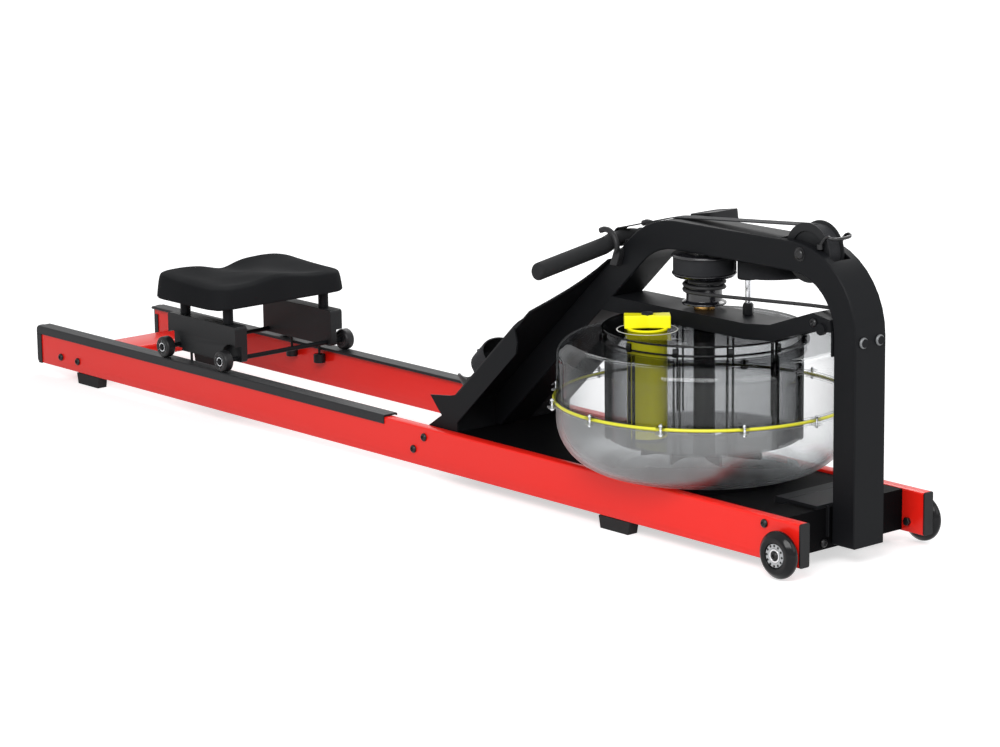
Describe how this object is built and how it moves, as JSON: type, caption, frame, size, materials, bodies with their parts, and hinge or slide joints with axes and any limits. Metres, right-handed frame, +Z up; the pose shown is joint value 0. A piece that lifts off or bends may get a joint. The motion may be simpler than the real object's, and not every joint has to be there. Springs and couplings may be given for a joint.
{
  "type": "water rowing machine",
  "caption": "Low water rowing machine with twin rails, rolling contoured seat, footrests, bent arch, clear water tank, belt drive and pull handle.",
  "frame": {"origin": "on the floor under the middle of the machine", "axes": "+X along the rails towards the tank and transport wheels, +Y across, +Z up"},
  "size_m": [1.9624, 0.486, 0.4955],
  "materials": {
    "red_paint": "smooth glossy red powder coat",
    "black_paint": "satin black powder coat",
    "black_plastic": "fine matt black moulding",
    "track_plastic": "black running strip",
    "rubber": "matt black rubber",
    "tyre": "glossy black polyurethane",
    "smoke_clear": "clear smoke tinted polycarbonate",
    "yellow": "bright yellow plastic",
    "ring_yellow": "dull yellow seal",
    "steel": "bright turned steel",
    "brass": "turned brass",
    "webbing": "woven black webbing",
    "foam": "soft foam sleeve",
    "cushion": "matt black moulded skin"
  },
  "bodies": {
    "frame": {"rail_near": "red_paint", "rail_far": "red_paint", "rear_cross_tube": "red_paint", "track_near": "track_plastic", "track_far": "track_plastic", "rear_cap_near": "black_plastic", "rear_cap_far": "black_plastic", "front_cap_near": "black_plastic", "front_cap_far": "black_plastic", "footrest_near": "black_plastic", "footrest_far": "black_plastic", "monitor": "black_plastic", "rear_foot_near": "rubber", "rear_foot_far": "rubber", "front_foot_near": "rubber", "front_foot_far": "rubber", "bungee_cord": "rubber", "handle_rest": "rubber", "front_cross_member": "black_paint", "tank_deck": "black_paint", "main_arch": "black_paint", "cross_bracket": "black_paint", "pulley_axle": "black_paint", "belt_retainer": "black_paint", "foot_frame": "black_paint", "monitor_arm": "black_paint", "tank_lower_shell": "smoke_clear", "tank_upper_shell": "smoke_clear", "inner_tank": "smoke_clear", "tank_seal_ring": "ring_yellow", "guide_post": "steel", "shaft_bearing": "brass", "belt_lower_run": "webbing", "foot_strap_near": "webbing", "foot_strap_far": "webbing"},
    "seat": {"seat_cushion": "cushion", "seat_plate": "black_paint", "carriage_block_near": "black_plastic", "carriage_block_far": "black_plastic", "seat_axle_rear": "black_paint", "seat_axle_front": "black_paint"},
    "handle_assembly": {"handle": "foam", "belt_upper_run": "webbing"},
    "pulley_wheel": {"top_pulley": "black_plastic"},
    "spool": {"belt_spool": "black_plastic", "belt_coil": "webbing"},
    "guide_wheel": {"guide_roller": "black_plastic"},
    "rotor": {"impeller": "black_plastic", "drive_shaft": "steel"},
    "adjuster_valve": {"adjuster": "yellow"},
    "adjuster_push": {"adjuster_button": "black_plastic"},
    "heel_near": {"heel_cup_near": "black_plastic"},
    "heel_far": {"heel_cup_far": "black_plastic"},
    "wheel_rear_near": {"seat_wheel_rear_near": "rubber"},
    "wheel_rear_far": {"seat_wheel_rear_far": "rubber"},
    "wheel_front_near": {"seat_wheel_front_near": "rubber"},
    "wheel_front_far": {"seat_wheel_front_far": "rubber"},
    "transport_near": {"transport_wheel_near": "tyre"},
    "transport_far": {"transport_wheel_far": "tyre"}
  },
  "joints": [
    {"name": "seat_slide", "type": "slide", "parent": "frame", "child": "seat", "axis": [1, 0, 0], "range_m": [-0.27, 0.42]},
    {"name": "seat_wheel_rear_near_spin", "type": "hinge", "parent": "seat", "child": "wheel_rear_near", "pos_m": [-0.58475, -0.1335, 0.1086], "axis": [0, 1, 0], "continuous": true},
    {"name": "seat_wheel_rear_far_spin", "type": "hinge", "parent": "seat", "child": "wheel_rear_far", "pos_m": [-0.58475, 0.1335, 0.1086], "axis": [0, 1, 0], "continuous": true},
    {"name": "seat_wheel_front_near_spin", "type": "hinge", "parent": "seat", "child": "wheel_front_near", "pos_m": [-0.41475, -0.1335, 0.1086], "axis": [0, 1, 0], "continuous": true},
    {"name": "seat_wheel_front_far_spin", "type": "hinge", "parent": "seat", "child": "wheel_front_far", "pos_m": [-0.41475, 0.1335, 0.1086], "axis": [0, 1, 0], "continuous": true},
    {"name": "handle_pull", "type": "slide", "parent": "frame", "child": "handle_assembly", "axis": [-1, 0, 0], "range_m": [0, 1.15], "stiffness_N_per_m": 20},
    {"name": "top_pulley_spin", "type": "hinge", "parent": "frame", "child": "pulley_wheel", "pos_m": [0.86375, 0, 0.451], "axis": [0, 1, 0], "continuous": true},
    {"name": "spool_spin", "type": "hinge", "parent": "frame", "child": "spool", "pos_m": [0.63375, 0, 0.38], "axis": [0, 0, 1], "continuous": true},
    {"name": "guide_roller_spin", "type": "hinge", "parent": "frame", "child": "guide_wheel", "pos_m": [0.71175, 0.0154, 0.4], "axis": [0, 0, 1], "continuous": true},
    {"name": "impeller_spin", "type": "hinge", "parent": "frame", "child": "rotor", "pos_m": [0.63375, 0, 0.12], "axis": [0, 0, 1], "continuous": true},
    {"name": "adjuster_turn", "type": "hinge", "parent": "frame", "child": "adjuster_valve", "pos_m": [0.59575, -0.083, 0.3], "axis": [0, 0, 1], "range_deg": [-135, 135]},
    {"name": "button_press", "type": "slide", "parent": "adjuster_valve", "child": "adjuster_push", "axis": [0, 0, -1], "range_m": [0, 0.0025], "stiffness_N_per_m": 400},
    {"name": "heel_cup_near_slide", "type": "slide", "parent": "frame", "child": "heel_near", "axis": [0.7314, 0, 0.682], "range_m": [-0.02, 0.01]},
    {"name": "heel_cup_far_slide", "type": "slide", "parent": "frame", "child": "heel_far", "axis": [0.7314, 0, 0.682], "range_m": [-0.02, 0.01]},
    {"name": "transport_near_spin", "type": "hinge", "parent": "frame", "child": "transport_near", "pos_m": [0.94275, -0.15, 0.0375], "axis": [0, 1, 0], "continuous": true},
    {"name": "transport_far_spin", "type": "hinge", "parent": "frame", "child": "transport_far", "pos_m": [0.94275, 0.15, 0.0375], "axis": [0, 1, 0], "continuous": true}
  ],
  "couplings": [
    {"joint": "seat_wheel_rear_near_spin", "follows": "seat_slide", "rad_per_m": 54.054},
    {"joint": "seat_wheel_rear_far_spin", "follows": "seat_slide", "rad_per_m": 54.054},
    {"joint": "seat_wheel_front_near_spin", "follows": "seat_slide", "rad_per_m": 54.054},
    {"joint": "seat_wheel_front_far_spin", "follows": "seat_slide", "rad_per_m": 54.054},
    {"joint": "top_pulley_spin", "follows": "handle_pull", "rad_per_m": -25.381},
    {"joint": "spool_spin", "follows": "handle_pull", "rad_per_m": -19.763},
    {"joint": "guide_roller_spin", "follows": "handle_pull", "rad_per_m": 64.935}
  ]
}
